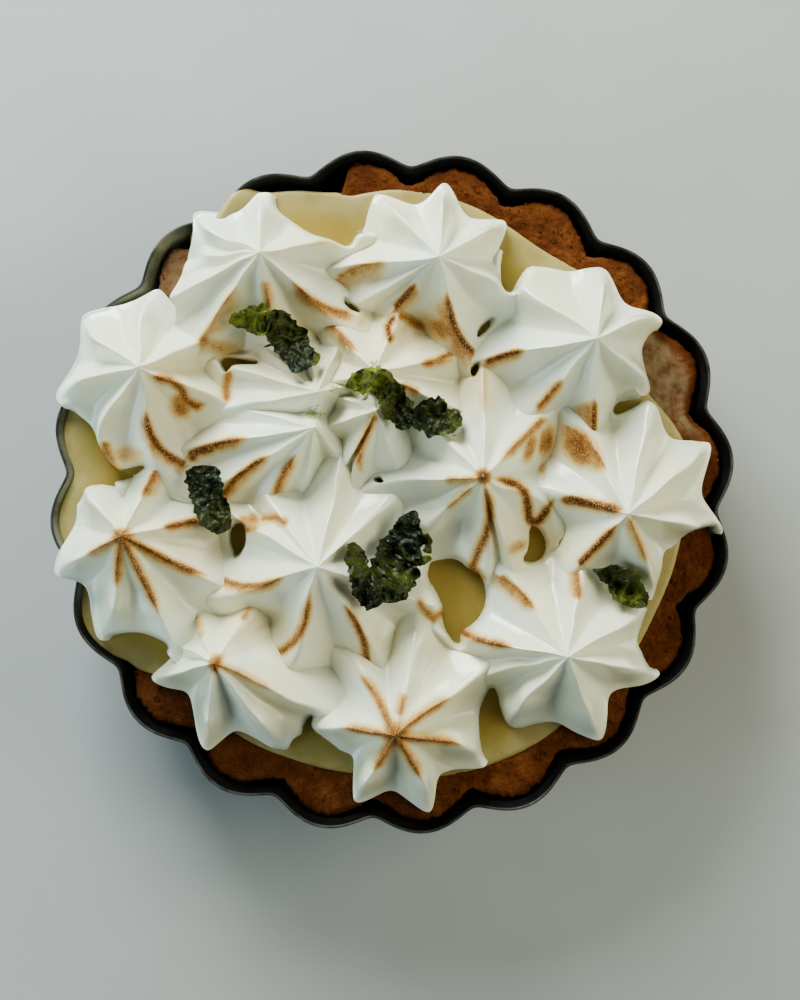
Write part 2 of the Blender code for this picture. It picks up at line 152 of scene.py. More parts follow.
STARS = (
    ((-22.2, 40.1),
     (arm(11, 15.4, 5, (0.45, 1.0, 0.13, 0.4, 0.6), 0.5), arm(93, 12.0, 0, None, 0.7), arm(146, 15.0, 9, None, 0.3),
      arm(178, 13.2, 0, None, 0.3), arm(202, 17.5), arm(232, 18.0, 0, (0.3, 1.0, 0.30, 1.7, 0.3)),
      arm(279, 16.0, 0, (0.25, 0.6, 0.42, 0.5, 0.5)), arm(327, 17.0, -8, (0.35, 1.0, 0.62, 0.3, 0.9)))),
    ((-42.5, 20.9),
     (arm(27, 11.8), arm(82, 14.5, 12, None, 0.4), arm(138, 15.0, 11, None, 0.5), arm(196, 16.6, -7, None, 0.55),
      arm(251, 18.2, -20, (0.8, 1.0, 0.55, 1.0, 0.3)), arm(291, 17.0, -16, (0.35, 1.0, 0.85, 0.4, 0.9)),
      arm(332, 13.5, 8))),
    ((-13.1, 10.9),
     (arm(124, 5.2), arm(165, 14.5), arm(191, 22.0, -3, (0.5, 1.0, 0.80, 0.9, 0.3)),
      arm(215, 19.5, -5, (0.42, 1.0, 0.78, 0.8, 0.3)), arm(239, 13.7, -5, (0.35, 1.0, 0.62, 0.6, 0.4)),
      arm(259, 8.5), arm(312, 6.3))),
    ((7.9, 39.3),
     (arm(33, 14.2, 0, None, 0.8), arm(85, 14.6, 0, None, 0.85), arm(131, 16.4, 0, None, 0.6),
      arm(187, 17.0, -6, (0.45, 1.0, 0.36, 2.0, 0.2)), arm(206, 12.5), arm(226, 10.0, 0, (0.5, 1.0, 0.9, 0.9, 0.3)),
      arm(291, 16.0, -8, (0.3, 1.0, 0.92, 0.2, 1.8)), arm(340, 14.0, 2, None, 0.7))),
    ((34.3, 25.7),
     (arm(18, 13.6, 8, None, 0.7), arm(78, 13.6, 0, None, 0.4), arm(130, 17.0, 12),
      arm(191, 18.5, -4, (0.6, 0.97, 0.8, 0.7, 0.2)), arm(231, 14.0, 0, (0.55, 1.0, 0.56, 0.5, 0.3)),
      arm(272, 15.2, 0, (0.62, 1.0, 0.80, 0.3, 2.5)), arm(327, 14.2, 0, None, 0.8))),
    ((39.6, -3.7),
     (arm(37, 20.0, 0, None, 0.8), arm(75, 20.0), arm(120, 16.4, -6, (0.42, 0.98, 0.62, 1.9, 0.2)),
      arm(167, 12.5, -6), arm(230, 11.5, 0, (0.15, 0.95, 0.88, 0.6, 0.3)),
      arm(292, 16.4, 3, (0.1, 0.62, 0.40, 0.4, 0.6), 1.0), arm(350, 18.3, 0, None, 0.7))),
    ((15.5, 2.5),
     (arm(44, 14.3, 0, (0.22, 1.0, 0.52, 0.3, 0.6)), arm(89, 18.0, 0, (0.55, 1.0, 0.20, 0.6, 0.6)),
      arm(134, 13.0), arm(192, 16.5, -10, (0.1, 0.45, 0.36, 0.7, 0.2)),
      arm(225, 12.5, -4, (0.15, 0.7, 0.30, 0.4, 0.4)), arm(262, 15.5, 15),
      arm(288, 17.2), arm(320, 12.0, 19))),
    ((29.5, -27.7),
     (arm(26, 16.6, 0, None, 0.7), arm(81, 14.2, -6, (0.62, 1.0, 0.60, 0.8, 0.2)),
      arm(129, 16.4, -5, (0.5, 1.0, 0.60, 1.2, 0.2)), arm(169, 18.0, 3, (0.45, 1.0, 0.68, 0.3, 0.5)),
      arm(196, 13.0), arm(236, 16.0, -7, None, 0.6), arm(293, 17.0, 0, None, 0.9), arm(346, 17.5, 2, None, 0.8))),
    ((0.7, -40.8),
     (arm(40, 18.0, -8, (0.06, 0.66, 0.46, 0.7, 0.5)), arm(83, 17.0, -5, (0.15, 0.42, 0.42, 0.5, 0.4)),
      arm(128, 13.0, -8, (0.10, 0.95, 0.56, 0.3, 0.5)), arm(185, 16.0, -9, (0.05, 0.62, 0.58, 0.4, 0.4), 1.0),
      arm(243, 15.0, -3, (0.05, 0.56, 0.60, 0.6, 0.4), 0.85), arm(291, 16.0, 7, (0.05, 0.62, 0.66, 0.5, 0.5), 1.0),
      arm(337, 17.3, 12, (0.05, 0.72, 0.64, 0.5, 0.5), 0.4))),
    ((-30.0, -28.8),
     (arm(58, 10.0, 0, (0.75, 1.0, 0.40, 0.4, 0.4)), arm(120, 8.0, 0, (0.5, 1.0, 0.28, 0.6, 0.4)), arm(160, 8.0),
      arm(197, 12.4, 0, None, 0.9), arm(262, 16.4, 0, None, 0.95), arm(305, 20.0, 0, None, 0.8),
      arm(339, 20.0, -7, (0.05, 0.6, 0.30, 0.5, 0.5)))),
    ((-45.4, -7.4),
     (arm(12, 11.6, 0, (0.5, 1.0, 0.70, 0.3, 0.6)), arm(67, 12.7, 0, (0.5, 1.0, 0.66, 0.2, 0.9)),
      arm(136, 12.2, 0, None, 0.55), arm(206, 15.0, 0, (0.05, 0.55, 0.36, 0.9, 0.2), 0.85),
      arm(253, 19.0, 7, (0.03, 0.52, 0.58, 0.5, 0.5), 0.75), arm(290, 21.0, 3, (0.03, 0.75, 0.70, 0.4, 0.5)),
      arm(334, 16.5, -4, (0.03, 1.0, 0.76, 0.3, 0.7)))),
    ((-12.4, -12.6),
     (arm(43, 15.0), arm(79, 17.0), arm(129, 13.0), arm(150, 15.5, 0, (0.75, 1.0, 0.40, 0.6, 0.6)),
      arm(189, 17.0, 10, (0.3, 1.0, 0.68, 0.7, 0.2)), arm(243, 17.5, 13, (0.2, 1.0, 0.64, 0.3, 0.5)),
      arm(295, 19.0, 8, (0.35, 0.98, 0.72, 0.3, 0.5)), arm(340, 19.5))),
    ((-12.5, 16.9),
     (arm(15, 7.5), arm(70, 9.0), arm(105, 10.0), arm(139, 12.0), arm(163, 16.5), arm(188, 17.0), arm(267, 6.0))),
    ((-2.7, 13.8),
     (arm(39, 4.5), arm(110, 6.0), arm(159, 8.5), arm(198, 12.0), arm(240, 11.0),
      arm(262, 12.0, -14, (0.12, 0.95, 0.48, 0.3, 0.6)), arm(290, 9.5))),
    ((-2.8, 20.2),
     (arm(17, 14.2, -5, (0.5, 0.98, 0.66, 0.3, 0.6)), arm(69, 12.0), arm(131, 12.0, 0, (0.35, 1.0, 0.52, 0.9, 0.2)),
      arm(190, 10.0), arm(240, 8.0), arm(290, 8.0), arm(337, 15.0, 0, (0.3, 0.55, 0.42, 0.5, 0.3)))),
)

# Browned places that no single ridge holds, and at the end wide faint cream places that are partly painted shade:
# middle, half length, half width, turn in degrees, strength
BLOTS = (
    (-36.2, 14.9, 2.3, 1.7, 70, 0.48),
    (-29.6, 25.0, 3.6, 1.4, -10, 0.27),
    (-32.3, 26.0, 1.5, 1.0, 50, 0.36),
    (-45.6, 6.4, 2.8, 1.5, 5, 0.28),
    (9.1, 28.0, 3.4, 1.9, 145, 0.44),
    (4.0, 29.2, 2.4, 0.9, 160, 0.40),
    (32.5, 7.6, 3.3, 2.2, 125, 0.70),
    (23.8, 7.6, 2.4, 1.1, 73, 0.46),
    (26.8, 8.8, 2.6, 1.3, 82, 0.52),
    (26.2, 3.8, 1.7, 0.7, 85, 0.20),
    (21.7, -9.4, 2.0, 1.1, 25, 0.33),
    (-24.2, -5.2, 1.9, 1.4, 60, 0.44),
    (-5.1, 29.8, 1.6, 1.1, 60, 0.16),
    (15.4, 2.6, 1.2, 1.2, 0, 0.92),
    (0.7, -40.9, 2.3, 1.9, 0, 0.74),
    (-29.8, -29.0, 1.5, 1.1, 60, 0.66),
    (-45.5, -7.7, 1.8, 1.4, 0, 0.72),
    # Wide faint blots: a cream tint, partly the meringue's own colour and partly painted warm shade over shaded places
    # between the stars.
    (-24.0, -21.5, 9.0, 5.0, -30, 0.07),
    (-6.0, -27.0, 9.0, 5.0, 20, 0.06),
    (14.0, 19.0, 7.0, 6.0, 0, 0.07),
    (27.5, 9.0, 7.0, 4.5, 0, 0.08),
    (4.0, 27.0, 9.0, 5.0, -20, 0.08),
    (-16.0, 29.0, 7.0, 5.0, 0, 0.07),
    (-27.0, 24.0, 6.0, 4.0, 0, 0.07),
    (-38.0, 13.0, 7.0, 5.0, -20, 0.06),
    (27.0, -9.5, 7.0, 4.0, 20, 0.08),
    (-30.0, 0.0, 9.0, 5.0, 0, 0.05),
    (10.0, -28.0, 6.0, 4.0, 0, 0.06),
    (-34.0, -9.0, 8.0, 6.0, 0, 0.065),
    (-35.0, 20.0, 8.0, 6.0, 0, 0.06),
    (-20.0, 21.0, 9.0, 7.0, 0, 0.07),
    (-5.0, 23.0, 9.0, 7.0, 0, 0.06),
    (-33.0, 8.0, 7.0, 5.0, 0, 0.055),
    (-20.0, -35.0, 7.0, 6.0, 0, 0.06),
    (20.0, -8.0, 7.0, 6.0, 0, 0.06),
    (35.0, -11.0, 6.0, 5.0, 0, 0.06),
    (36.0, 8.0, 7.0, 5.0, 0, 0.05),
)
# Browned edges: width, strength, then points along the edge
EDGES = (
    (0.55, 0.70, ((-41.2, 19.4), (-37.6, 19.0), (-36.0, 17.6), (-35.3, 15.6), (-33.6, 14.8), (-31.4, 15.4))),
    (0.45, 0.50, ((-49.6, 9.0), (-48.6, 5.8), (-47.9, 4.0))),
    (0.60, 0.48, ((-28.0, 21.6), (-28.8, 18.3), (-28.3, 15.0))),
    (0.55, 0.80, ((-35.4, 5.1), (-33.6, 6.9), (-30.2, 7.5))),
    (0.45, 0.95, ((0.8, 30.8), (-0.7, 28.5), (-0.2, 25.0))),
    (0.50, 0.44, ((0.5, 30.8), (3.4, 29.8), (5.0, 28.6))),
    (0.50, 0.42, ((1.2, 18.4), (5.0, 16.9))),
    (0.80, 0.88, ((28.4, -1.3), (31.5, -1.5), (35.0, -2.3), (39.4, -3.3))),
    (0.62, 0.92, ((16.6, 2.4), (18.6, 2.0), (21.3, 1.2), (22.8, 0.0), (23.4, -2.3), (23.6, -4.4), (24.4, -5.3),
                  (25.6, -4.9), (27.0, -2.8), (28.4, -0.6))),
    (0.50, 0.66, ((15.5, 2.0), (16.5, -1.4), (16.8, -4.0), (16.1, -7.5), (14.6, -10.9), (14.0, -13.4),
                  (15.2, -14.7), (17.8, -15.1))),
    (0.50, 0.46, ((-25.6, -3.8), (-24.9, -7.4))),
    (0.60, 0.40, ((-23.6, -4.8), (-20.0, -4.4), (-17.2, -5.8))),
    (0.30, 0.45, ((4.4, -17.6), (5.2, -19.8), (7.0, -21.8), (8.6, -21.2), (9.0, -19.4))),
)

# ---- mint leaves: strips, each (how fresh and lit its two ends are, points along its middle with the width there) ----
LEAVES = (
    (((1.0, 0.9), ((-28.2, 28.9, 0.7), (-24.9, 29.7, 3.7), (-22.1, 29.2, 5.1), (-20.4, 28.5, 4.4))),
     ((0.2, 0.0), ((-21.0, 30.9, 3.4), (-19.2, 27.8, 6.1), (-17.0, 25.0, 6.1), (-15.8, 22.2, 4.8),
                   (-17.3, 20.2, 1.7))),
     ((0.0, 0.5), ((-15.9, 23.8, 2.4), (-13.7, 22.9, 2.9), (-12.2, 22.2, 1.5))),
     ((0.0, 0.0), ((-22.1, 24.8, 0.5), (-19.7, 25.5, 0.8)))),
    (((1.0, 0.5), ((-8.1, 17.7, 1.4), (-5.4, 18.7, 3.7), (-2.4, 18.8, 4.8), (0.0, 17.0, 4.4), (1.0, 15.3, 2.7))),
     ((0.2, 0.0), ((-1.7, 18.0, 3.4), (0.4, 15.3, 5.1), (1.9, 12.6, 4.8), (3.1, 10.5, 1.2)))),
    (((0.1, 0.2), ((2.2, 12.2, 2.0), (4.8, 12.7, 5.1), (7.8, 12.7, 6.5), (10.2, 12.4, 4.4), (11.6, 14.3, 1.2))),
     ((0.1, 0.7), ((8.2, 11.5, 3.1), (9.2, 9.5, 1.0)))),
    (((0.0, 0.15), ((-32.6, 4.9, 5.1), (-32.6, 2.0, 6.8), (-31.7, -1.4, 5.8), (-29.9, -4.6, 5.8),
                   (-27.7, -6.5, 2.0))),),
    (((0.0, 0.08), ((4.1, -2.9, 1.7), (3.2, -5.8, 4.8), (2.1, -9.0, 6.8), (0.7, -12.4, 8.5), (-0.3, -15.8, 8.5),
                   (-0.7, -19.4, 4.1))),
     ((0.14, 0.0), ((-6.6, -8.2, 1.7), (-6.4, -10.9, 3.4), (-5.4, -14.3, 4.1), (-3.7, -17.3, 5.4),
                   (-1.7, -19.5, 3.7))),
     ((0.1, 0.8), ((2.2, -11.9, 2.0), (5.1, -11.9, 2.0), (7.1, -11.4, 0.7))),
     ((0.3, 0.3), ((5.5, -7.1, 1.4), (6.5, -8.7, 1.4), (5.8, -10.7, 1.4)))),
    (((0.1, 0.45), ((34.3, -13.2, 0.3), (35.7, -13.8, 1.4), (37.7, -14.3, 4.4), (40.1, -16.3, 5.8),
                   (42.5, -18.5, 4.1), (44.0, -19.9, 1.0))),),
)


# ---- making shapes ----

def blank(segments, levels):
    """A closed tube of unit radius, one ring at each whole height, with a fan over each end."""
    bm = bmesh.new()
    depth = levels - 1
    bmesh.ops.create_cone(bm, cap_ends=True, cap_tris=True, segments=segments, radius1=1, radius2=1, depth=depth)
    bmesh.ops.translate(bm, vec=(0, 0, depth / 2), verts=bm.verts)
    uprights = [edge for edge in bm.edges if abs(edge.verts[0].co.z - edge.verts[1].co.z) > 0.5]
    bmesh.ops.subdivide_edges(bm, edges=uprights, cuts=levels - 2, use_grid_fill=True)
    return bm


def piece_from(bm, name, material, nodes=()):
    """Close a bmesh into a smooth shaded piece that rides on the pie and stands for its nodes."""
    mesh = bpy.data.meshes.new(name)
    bm.to_mesh(mesh)
    bm.free()
    mesh.materials.append(material)
    mesh.shade_smooth()
    piece = bpy.data.objects.new(name, mesh)
    bpy.context.scene.collection.objects.link(piece)
    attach(piece, "root")
    if nodes:
        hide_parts(*nodes)
    return piece


def read_blank(bm):
    """Turn, level and whether on the axis, for every point of a blank, as arrays."""
    spots = np.array([vert.co[:] for vert in bm.verts])
    on_axis = np.hypot(spots[:, 0], spots[:, 1]) < 0.5
    return np.arctan2(spots[:, 1], spots[:, 0]) % TAU, np.round(spots[:, 2]), on_axis


def write_points(bm, spots):
    for vert, spot in zip(bm.verts, spots):
        vert.co = spot


def lumps(spots, size, seed=0.0):
    """Smooth noise from -1 to 1 at each point, with lumps of the given size."""
    shift = Vector((seed, 3.1 * seed, 7.7 * seed))
    return np.array([noise.noise(Vector(spot) / size + shift) for spot in spots])


def grit(spots, size, octaves, seed=0.0):
    """Rough noise of several scales at each point, about -1 to 1."""
    shift = Vector((seed, 3.1 * seed, 7.7 * seed))
    return np.array([noise.fractal(Vector(spot) / size + shift, 0.9, 2.1, octaves) for spot in spots])


def put(piece_mesh, name, values):
    """Store one number for each point of a mesh, for its material to read."""
    layer = piece_mesh.attributes.new(name, "FLOAT", "POINT")
    layer.data.foreach_set("value", np.asarray(values, dtype=np.float32))


def smooth_step(value):
    value = np.clip(value, 0.0, 1.0)
    return value * value * (3 - 2 * value)


def mix(a, b, share):
    return a + (b - a) * share


def rounded(outline):
    """A closed outline with its corners cut off twice."""
    corners = np.array(outline) * MM
    for step in range(2):
        after = np.roll(corners, -1, axis=0)
        corners = np.stack([mix(corners, after, 0.25), mix(corners, after, 0.75)], axis=1).reshape(-1, 2)
    return corners


def away_from(x, y, corners):
    """Distance in plan to a closed outline, negative inside it."""
    best = np.full(x.shape, 1.0)
    inside = np.zeros(x.shape, bool)
    for start, end in zip(corners, np.roll(corners, -1, axis=0)):
        side = end - start
        share = np.clip(((x - start[0]) * side[0] + (y - start[1]) * side[1]) / (side @ side), 0, 1)
        best = np.minimum(best, np.hypot(x - start[0] - share * side[0], y - start[1] - share * side[1]))
        crosses = (start[1] > y) != (end[1] > y)
        with np.errstate(divide="ignore", invalid="ignore"):
            inside ^= crosses & (x < start[0] + (y - start[1]) / side[1] * side[0])
    return np.where(inside, -best, best)


def flute(turn):
    """1 at the crown of a flute, 0 in the valley between two."""
    swing = np.cos(FLUTES / 2 * (turn - FLUTE_PHASE))
    crown = math.hypot(1, VALLEY_ROUNDING)
    return (np.hypot(swing, VALLEY_ROUNDING) - VALLEY_ROUNDING) / (crown - VALLEY_ROUNDING)


def wall_radius(turn, height):
    """Outside of the tin's wall."""
    return RIM_RADIUS - ROLL - FLUTE_DEPTH * (1 - flute(turn)) - (RIM_HEIGHT - height) * WALL_TAPER


def flood(turn):
    """1 where the curd runs over the pastry to the tin, 0 elsewhere."""
    rise = smooth_step((turn - FLOOD_FROM) / FLOOD_FADE + 0.5)
    fall = smooth_step((FLOOD_TO - turn) / FLOOD_FADE + 0.5)
    return rise * fall


def pastry_inner_radius(turn, height):
    middle = CURD_RADIUS + CURD_SHIFT * np.cos(turn - CURD_SHIFT_TURN)
    return middle - (CRUST_TOP - height) * INNER_TAPER


def rings_to_points(radius, turn, height):
    return np.stack([radius * np.cos(turn), radius * np.sin(turn), height], axis=1)


def along_profile(level, profile):
    """Read a profile, a list of rows, at fractional levels, as one array for each column."""
    table = np.array(profile)
    return [np.interp(level, np.arange(len(table)), table[:, column]) for column in range(table.shape[1])]


# ---- finishes ----

class Finish:
    """A material whose nodes are added one call at a time."""

    def __init__(self, name, colour, roughness, metallic=0.0):
        self.material = bpy.data.materials.new(name)
        self.material.use_nodes = True
        self.nodes = self.material.node_tree.nodes
        self.links = self.material.node_tree.links
        self.shader = self.nodes["Principled BSDF"]
        self.set("Base Color", (*colour, 1.0))
        self.set("Roughness", roughness)
        self.set("Metallic", metallic)
        self.place = self.nodes.new("ShaderNodeTexCoord").outputs["Object"]

    def set(self, socket, value):
        self.shader.inputs[socket].default_value = value

    def join(self, output, socket):
        self.links.new(output, self.shader.inputs[socket])

    def feed(self, node, **inputs):
        """Fill a node's inputs by name with numbers, colours or other nodes' outputs."""
        for name, value in inputs.items():
            socket = node.inputs[name.replace("_", " ")]
            if isinstance(value, bpy.types.NodeSocket):
                self.links.new(value, socket)
            else:
                socket.default_value = value
        return node

    def noise(self, size, detail=3.0, roughness=0.55):
        """Noise whose lumps measure size metres."""
        node = self.nodes.new("ShaderNodeTexNoise")
        return self.feed(node, Vector=self.place, Scale=1 / size, Detail=detail, Roughness=roughness).outputs["Fac"]

    def cells(self, size):
        """Distance to the nearest of many scattered points, size metres apart."""
        node = self.nodes.new("ShaderNodeTexVoronoi")
        return self.feed(node, Vector=self.place, Scale=1 / size).outputs["Distance"]

    def stored(self, name):
        node = self.nodes.new("ShaderNodeAttribute")
        node.attribute_name = name
        return node.outputs["Fac"]

    def sum(self, kind, first, second, clamp=False):
        node = self.nodes.new("ShaderNodeMath")
        node.operation = kind
        node.use_clamp = clamp
        for socket, value in zip(node.inputs, (first, second)):
            if isinstance(value, bpy.types.NodeSocket):
                self.links.new(value, socket)
            else:
                socket.default_value = value
        return node.outputs[0]

    def ramp(self, value, *stops):
        """Colours or greys by value: each stop is (position, colour or grey)."""
        node = self.nodes.new("ShaderNodeValToRGB")
        self.links.new(value, node.inputs["Fac"])
        elements = node.color_ramp.elements
        while len(elements) < len(stops):
            elements.new(0.5)
        for element, (position, colour) in zip(elements, stops):
            element.position = position
            element.color = (*colour, 1.0) if isinstance(colour, tuple) else (colour, colour, colour, 1.0)
        return node.outputs["Color"]

    def blend(self, share, first, second, kind="MIX"):
        node = self.nodes.new("ShaderNodeMix")
        node.data_type = "RGBA"
        node.blend_type = kind
        for name, value in (("Factor", share), ("A", first), ("B", second)):
            socket = next(item for item in node.inputs if item.name == name and item.enabled)
            if isinstance(value, bpy.types.NodeSocket):
                self.links.new(value, socket)
            else:
                socket.default_value = (*value, 1.0) if isinstance(value, tuple) else value
        return next(item for item in node.outputs if item.enabled)

    def bump(self, height, distance, strength=1.0, under=None):
        node = self.nodes.new("ShaderNodeBump")
        self.feed(node, Height=height, Distance=distance, Strength=strength)
        if under is not None:
            self.links.new(under, node.inputs["Normal"])
        return node.outputs["Normal"]


def tin_finish():
    """Black coated steel, satin, with a patchy grey along the top of the rolled rim that is partly worn coating and
    partly a painted highlight.
    """
    steel = Finish("dark_tin", (0.004, 0.004, 0.004), 0.42)
    steel.set("Specular IOR Level", 0.12)
    height = steel.feed(steel.nodes.new("ShaderNodeSeparateXYZ"), Vector=steel.place).outputs["Z"]
    # Painted highlight: the grey along the top of the rim is partly worn coating and partly stands in for the rim's
    # highlight line.
    rim = steel.ramp(steel.sum("DIVIDE", height, RIM_HEIGHT), (0.988, 0.0), (0.997, 1.0))
    patchy = steel.ramp(steel.noise(3 * MM, 4), (0.38, 0.25), (0.62, 1.0))
    rim_wear_and_highlight = steel.sum("MULTIPLY", rim, patchy)
    mottled = steel.ramp(steel.noise(5 * MM), (0.3, (0.0025, 0.0025, 0.0025)), (0.75, (0.007, 0.007, 0.0068)))
    tone = steel.blend(rim_wear_and_highlight, mottled, (0.06, 0.06, 0.057))
    film = steel.sum("MULTIPLY", steel.stored("film"), steel.ramp(steel.noise(4 * MM, 4), (0.32, 0.35), (0.6, 1.0)))
    steel.join(steel.blend(film, tone, (0.21, 0.20, 0.145)), "Base Color")
    steel.join(steel.ramp(steel.noise(2.5 * MM, 5), (0.3, 0.30), (0.7, 0.5)), "Roughness")
    steel.join(steel.bump(steel.noise(0.35 * MM), 0.02 * MM, 0.5), "Normal")
    return steel.material


def crust_finish():
    """Baked shortcrust: orange-brown and sandy, with painted shade darkening its cracks and low hollows."""
    pastry = Finish("baked_crust", (0.16, 0.05, 0.010), 0.9)
    tone = pastry.ramp(pastry.noise(3.2 * MM, 4, 0.6), (0.32, (0.064, 0.0155, 0.0036)), (0.50, (0.095, 0.0255, 0.0060)),
                       (0.70, (0.140, 0.042, 0.0100)))
    fleck = pastry.ramp(pastry.noise(0.32 * MM, 3, 0.7), (0.35, (0.72, 0.68, 0.62)), (0.68, (1.35, 1.32, 1.2)))
    tone = pastry.blend(1.0, tone, fleck, "MULTIPLY")
    # Painted shade: the hollow attribute darkens the crust in its cracks and low hollows.
    tone = pastry.blend(pastry.stored("hollow"), tone, (0.050, 0.012, 0.0015))
    film = pastry.sum("MULTIPLY", pastry.stored("film"), pastry.ramp(pastry.noise(3 * MM, 4), (0.34, 0.2), (0.62, 1.0)))
    tone = pastry.blend(film, tone, (0.31, 0.22, 0.105))
    pastry.join(tone, "Base Color")
    pastry.join(pastry.sum("SUBTRACT", 0.9, pastry.sum("MULTIPLY", film, 0.55)), "Roughness")
    pastry.join(pastry.sum("ADD", 0.06, pastry.sum("MULTIPLY", film, 0.4)), "Specular IOR Level")
    coarse = pastry.bump(pastry.noise(0.7 * MM, 4, 0.65), 0.22 * MM, 0.8)
    pastry.join(pastry.bump(pastry.noise(0.22 * MM, 2), 0.05 * MM, 0.8, coarse), "Normal")
    return pastry.material


def curd_finish():
    """Set lemon curd: yellow, smooth, softly shining, a little light coming through it."""
    curd = Finish("lemon_curd", (0.36, 0.26, 0.06), 0.30)
    tone = curd.ramp(curd.noise(9 * MM, 2), (0.3, (0.28, 0.190, 0.029)), (0.7, (0.31, 0.218, 0.043)))
    # Paler towards the curd's edge: partly thin curd, partly painted shade for the greyer curd in the stars' shade.
    thin = curd.sum("MULTIPLY", curd.stored("thin"), curd.ramp(curd.noise(3 * MM, 3), (0.3, 0.45), (0.6, 1.0)))
    curd.join(curd.blend(thin, tone, (0.42, 0.36, 0.165)), "Base Color")
    curd.join(curd.ramp(curd.noise(4 * MM, 3), (0.3, 0.32), (0.7, 0.45)), "Roughness")
    curd.set("Specular IOR Level", 0.28)
    curd.set("Subsurface Weight", 0.35)
    curd.set("Subsurface Radius", (1.0, 0.7, 0.2))
    curd.set("Subsurface Scale", 1.5 * MM)
    curd.join(curd.bump(curd.noise(2.2 * MM, 3), 0.05 * MM, 0.5), "Normal")
    return curd.material


def meringue_finish():
    """Glossy white meringue, browned by a flame where the point attribute toast says so; toast also carries the wide
    faint blots, a cream tint that is partly painted shade.
    """
    foam = Finish("piped_meringue", (0.86, 0.85, 0.76), 0.33)
    ragged = foam.sum("MULTIPLY", foam.sum("SUBTRACT", foam.noise(0.42 * MM, 4, 0.7), 0.5), 0.75)
    toast = foam.stored("toast")
    heat = foam.sum("ADD", toast, foam.sum("MULTIPLY", ragged, foam.ramp(toast, (0.05, 0.0), (0.45, 1.0))), True)
    plain = foam.ramp(foam.noise(14 * MM, 2), (0.35, (0.79, 0.83, 0.71)), (0.65, (0.83, 0.80, 0.58)))
    tone = foam.ramp(heat, (0.06, (0.80, 0.71, 0.44)), (0.18, (0.67, 0.465, 0.19)), (0.34, (0.43, 0.205, 0.050)),
                     (0.56, (0.24, 0.094, 0.018)), (0.80, (0.125, 0.042, 0.008)), (1.0, (0.065, 0.019, 0.004)))
    # Faint toast values give the cream of the wide blots, partly painted shade.
    tone = foam.blend(foam.ramp(heat, (0.015, 0.0), (0.08, 1.0)), plain, tone)
    bubbles = foam.ramp(foam.cells(0.40 * MM), (0.18, 1.0), (0.34, 0.0))
    browned = foam.ramp(heat, (0.30, 0.0), (0.5, 0.8))
    tone = foam.blend(foam.sum("MULTIPLY", bubbles, browned), tone, (0.66, 0.42, 0.13))
    foam.join(tone, "Base Color")
    foam.join(foam.ramp(heat, (0.0, 0.30), (0.5, 0.52)), "Roughness")
    foam.set("Subsurface Weight", 0.22)
    foam.set("Subsurface Radius", (1.0, 0.9, 0.7))
    foam.set("Subsurface Scale", 1.2 * MM)
    foam.join(foam.ramp(heat, (0.05, 0.5), (0.4, 0.12)), "Specular IOR Level")
    foam.join(foam.ramp(heat, (0.05, 0.45), (0.25, 0.0)), "Coat Weight")
    foam.set("Coat Roughness", 0.09)
    smooth = foam.bump(foam.noise(2.6 * MM, 3), 0.08 * MM, 0.45)
    blisters = foam.sum("MULTIPLY", bubbles, browned)
    foam.join(foam.bump(blisters, 0.12 * MM, 0.9, smooth), "Normal")
    return foam.material


def mint_finish():
    """Candied mint: green so dark that it is nearly black, with a brighter green where the leaf is thin that is partly
    fresher leaf and partly painted light.
    """
    leaf = Finish("candied_mint", (0.02, 0.035, 0.012), 0.3)
    leaf.set("Specular IOR Level", 0.15)
    dark = leaf.ramp(leaf.noise(1.2 * MM, 5, 0.65), (0.34, (0.0012, 0.0026, 0.0009)), (0.55, (0.0044, 0.0085, 0.0016)),
                     (0.72, (0.018, 0.033, 0.004)))
    fresh_and_lit = leaf.ramp(leaf.noise(0.8 * MM, 4, 0.6), (0.32, (0.040, 0.058, 0.0015)), (0.68, (0.24, 0.26, 0.006)))
    # Painted light: the brighter green is partly fresher leaf and partly stands for light on and through the leaf's
    # thin parts.
    leaf.join(leaf.blend(leaf.stored("fresh_and_lit"), dark, fresh_and_lit), "Base Color")
    leaf.join(leaf.ramp(leaf.noise(0.6 * MM, 3), (0.35, 0.18), (0.65, 0.38)), "Roughness")
    veins = leaf.bump(leaf.noise(0.5 * MM, 5, 0.7), 0.16 * MM, 0.7)
    leaf.join(veins, "Normal")
    return leaf.material


def sugar_finish():
    sugar = Finish("sugar_grain", (0.10, 0.13, 0.08), 0.10)
    sugar.join(sugar.ramp(sugar.noise(0.5 * MM, 2), (0.3, (0.02, 0.035, 0.012)), (0.7, (0.20, 0.24, 0.16))), "Base Color")
    return sugar.material


def crumb_finish():
    """Pale green sugar that has rubbed off the leaves."""
    crumb = Finish("mint_sugar", (0.55, 0.58, 0.22), 0.5)
    crumb.join(crumb.ramp(crumb.noise(0.8 * MM, 3), (0.3, (0.34, 0.38, 0.07)), (0.7, (0.72, 0.72, 0.42))), "Base Color")
    return crumb.material


def floor_finish():
    """A plain pale matt floor."""
    floor = Finish("pale_floor", (0.46, 0.47, 0.47), 0.9)
    floor.join(floor.ramp(floor.noise(30 * MM, 3), (0.3, (0.39, 0.40, 0.405)), (0.7, (0.42, 0.43, 0.435))), "Base Color")
    return floor.material


# ---- the tin, the pastry and the curd ----

